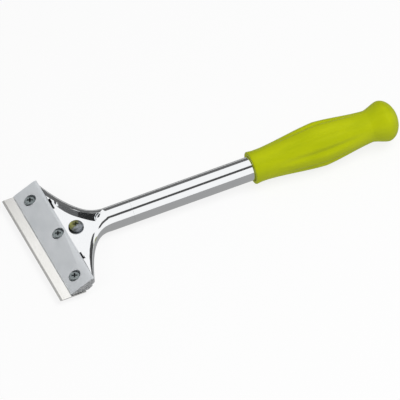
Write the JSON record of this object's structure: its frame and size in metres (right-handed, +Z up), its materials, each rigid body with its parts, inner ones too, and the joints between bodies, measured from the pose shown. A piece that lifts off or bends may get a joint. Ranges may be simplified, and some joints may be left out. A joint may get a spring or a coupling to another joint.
{
  "type": "paint scraper",
  "caption": "Long-handled paint scraper: wide steel blade clamped under a wedge bar in a chromed cast head, on a chromed tube with a contoured lime-green grip.",
  "frame": {"origin": "on the surface the tool lies on, under the middle of its bounding box", "axes": "+X along the tool from the blade towards the grip, +Y across the blade, +Z up off the sole"},
  "size_m": [0.2584, 0.1, 0.0302],
  "materials": {
    "chrome_head": "bright chrome plate on a die casting",
    "chrome_tube": "bright chrome plate on steel tube",
    "satin_bar": "satin grey, fine blasted grain",
    "blade_steel": "pale ground steel with a ground edge",
    "zinc_screw": "bright zinc plate",
    "yellow_zinc": "yellow passivated zinc plate",
    "tang_steel": "plain turned steel",
    "grip_lime": "satin lime-green moulded plastic",
    "plug_black": "black moulded plastic"
  },
  "bodies": {
    "scraper_body": {"head_casting": "chrome_head", "shaft_tube": "chrome_tube", "shaft_tang": "tang_steel", "shaft_lock_screw": "yellow_zinc", "grip": "grip_lime", "tube_end_plug": "plug_black"},
    "clamp": {"clamp_bar": "satin_bar"},
    "screw_near": {"clamp_screw_near": "zinc_screw"},
    "screw_centre": {"clamp_screw_centre": "zinc_screw"},
    "screw_far": {"clamp_screw_far": "zinc_screw"},
    "blade": {"blade": "blade_steel"}
  },
  "joints": [
    {"name": "clamp_lift", "type": "slide", "parent": "scraper_body", "child": "clamp", "axis": [-0.0347, 0, 0.9994], "range_m": [0, 0.00175]},
    {"name": "screw_near_turn", "type": "hinge", "parent": "clamp", "child": "screw_near", "pos_m": [-0.11415, -0.0379, 0.00829], "axis": [-0.0347, 0, 0.9994], "range_deg": [0, 900]},
    {"name": "screw_centre_turn", "type": "hinge", "parent": "clamp", "child": "screw_centre", "pos_m": [-0.10985, 0, 0.00844], "axis": [-0.0347, 0, 0.9994], "range_deg": [0, 900]},
    {"name": "screw_far_turn", "type": "hinge", "parent": "clamp", "child": "screw_far", "pos_m": [-0.11415, 0.0379, 0.00829], "axis": [-0.0347, 0, 0.9994], "range_deg": [0, 900]},
    {"name": "blade_slide", "type": "slide", "parent": "scraper_body", "child": "blade", "axis": [-0.9994, 0, -0.0347], "range_m": [0, 0.0125]}
  ],
  "couplings": [
    {"joint": "screw_near_turn", "follows": "clamp_lift", "rad_per_m": 8975.9},
    {"joint": "screw_centre_turn", "follows": "clamp_lift", "rad_per_m": 8975.9},
    {"joint": "screw_far_turn", "follows": "clamp_lift", "rad_per_m": 8975.9}
  ]
}
